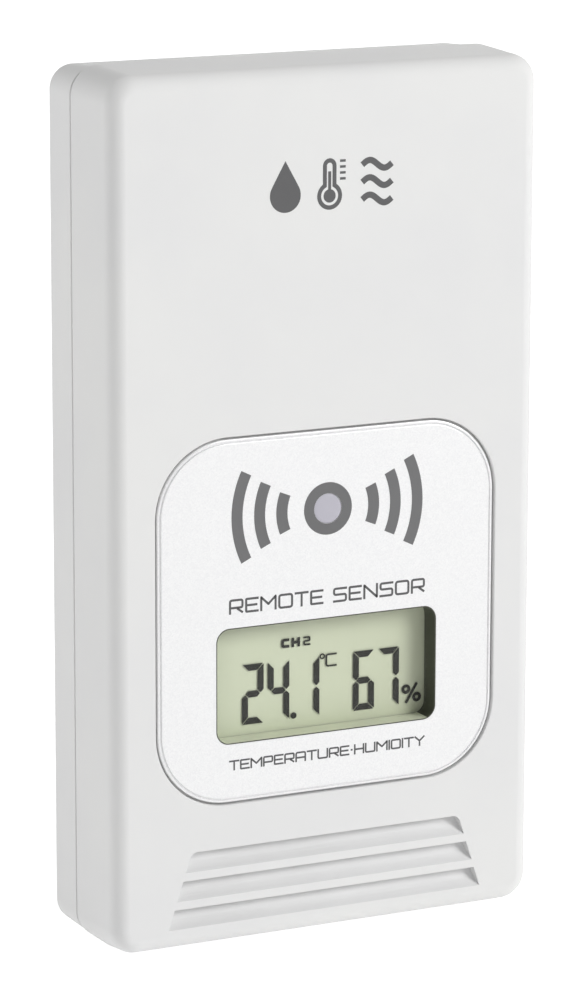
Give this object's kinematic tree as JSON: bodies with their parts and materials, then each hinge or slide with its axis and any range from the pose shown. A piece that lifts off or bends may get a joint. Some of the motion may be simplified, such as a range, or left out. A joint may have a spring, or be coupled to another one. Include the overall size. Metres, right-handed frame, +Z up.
{
  "type": "wireless temperature and humidity sensor",
  "caption": "Wireless outdoor sensor: white two-shell housing, silver label plate, small liquid-crystal display, louvres, battery bay with cover, channel switch and fold-out stand.",
  "frame": {"origin": "under the middle of the housing, on the plane that it stands on", "axes": "+Z up along the housing's height, the display faces -Y, the battery cover faces +Y"},
  "size_m": [0.061, 0.02, 0.113],
  "materials": {
    "white_plastic": "fine satin, off-white",
    "silver_plate": "satin silver with a fine sparkle",
    "lamp_window": "translucent grey",
    "led_body": "clear red resin",
    "clear_plastic": "clear polished",
    "display_glass": "grey-green liquid-crystal glass",
    "dark_plastic": "black moulded",
    "zebra_rubber": "layered conductive rubber",
    "circuit_board": "green solder mask",
    "chip_black": "moulded epoxy",
    "plated_steel": "nickel plated",
    "antenna_wire": "bright wire",
    "ribbon_grey": "grey ribbon insulation",
    "key_grey": "grey moulded",
    "cell_wrap": "printed cell wrap",
    "red_wire": "PVC insulation",
    "black_wire": "PVC insulation"
  },
  "bodies": {
    "housing": {"front_shell": "white_plastic", "rear_shell": "white_plastic", "display_plate": "silver_plate", "light_guide": "lamp_window", "led": "led_body", "lcd_window": "clear_plastic", "lcd_panel": "display_glass", "lcd_frame": "dark_plastic", "zebra_strip_upper": "zebra_rubber", "zebra_strip_lower": "zebra_rubber", "main_circuit_board": "circuit_board", "controller_chip": "chip_black", "rf_module": "plated_steel", "antenna": "antenna_wire", "crystal": "plated_steel", "capacitor": "chip_black", "sensor_board": "circuit_board", "humidity_sensor": "chip_black", "sensor_ribbon": "ribbon_grey", "tact_switch_left": "chip_black", "tact_switch_right": "chip_black", "slide_switch": "plated_steel", "battery_upper": "cell_wrap", "battery_lower": "cell_wrap", "battery_spring_upper": "plated_steel", "battery_spring_lower": "plated_steel", "contact_bridge": "plated_steel", "contact_upper": "plated_steel", "contact_lower": "plated_steel", "lead_positive": "red_wire", "lead_negative": "black_wire", "housing_screw_1": "plated_steel", "housing_screw_2": "plated_steel", "housing_screw_3": "plated_steel", "housing_screw_4": "plated_steel", "board_screw_1": "plated_steel", "board_screw_2": "plated_steel", "board_screw_3": "plated_steel", "board_screw_4": "plated_steel"},
    "battery_cover": {"battery_cover": "white_plastic"},
    "stand": {"stand": "white_plastic"},
    "unit_button": {"unit_button": "key_grey"},
    "transmit_button": {"transmit_button": "key_grey"},
    "channel_knob": {"channel_knob": "key_grey"}
  },
  "joints": [
    {"name": "battery_cover_hinge", "type": "hinge", "parent": "housing", "child": "battery_cover", "pos_m": [0, 0.0099, 0.0554], "axis": [-1, 0, 0], "range_deg": [0, 90]},
    {"name": "stand_hinge", "type": "hinge", "parent": "housing", "child": "stand", "pos_m": [0, 0.0084, 0.047], "axis": [1, 0, 0], "range_deg": [0, 32]},
    {"name": "unit_button_press", "type": "slide", "parent": "housing", "child": "unit_button", "axis": [0, -1, 0], "range_m": [0, 0.0005], "stiffness_N_per_m": 400},
    {"name": "transmit_button_press", "type": "slide", "parent": "housing", "child": "transmit_button", "axis": [0, -1, 0], "range_m": [0, 0.0005], "stiffness_N_per_m": 400},
    {"name": "channel_slide", "type": "slide", "parent": "housing", "child": "channel_knob", "axis": [1, 0, 0], "range_m": [-0.0025, 0.0025]}
  ]
}
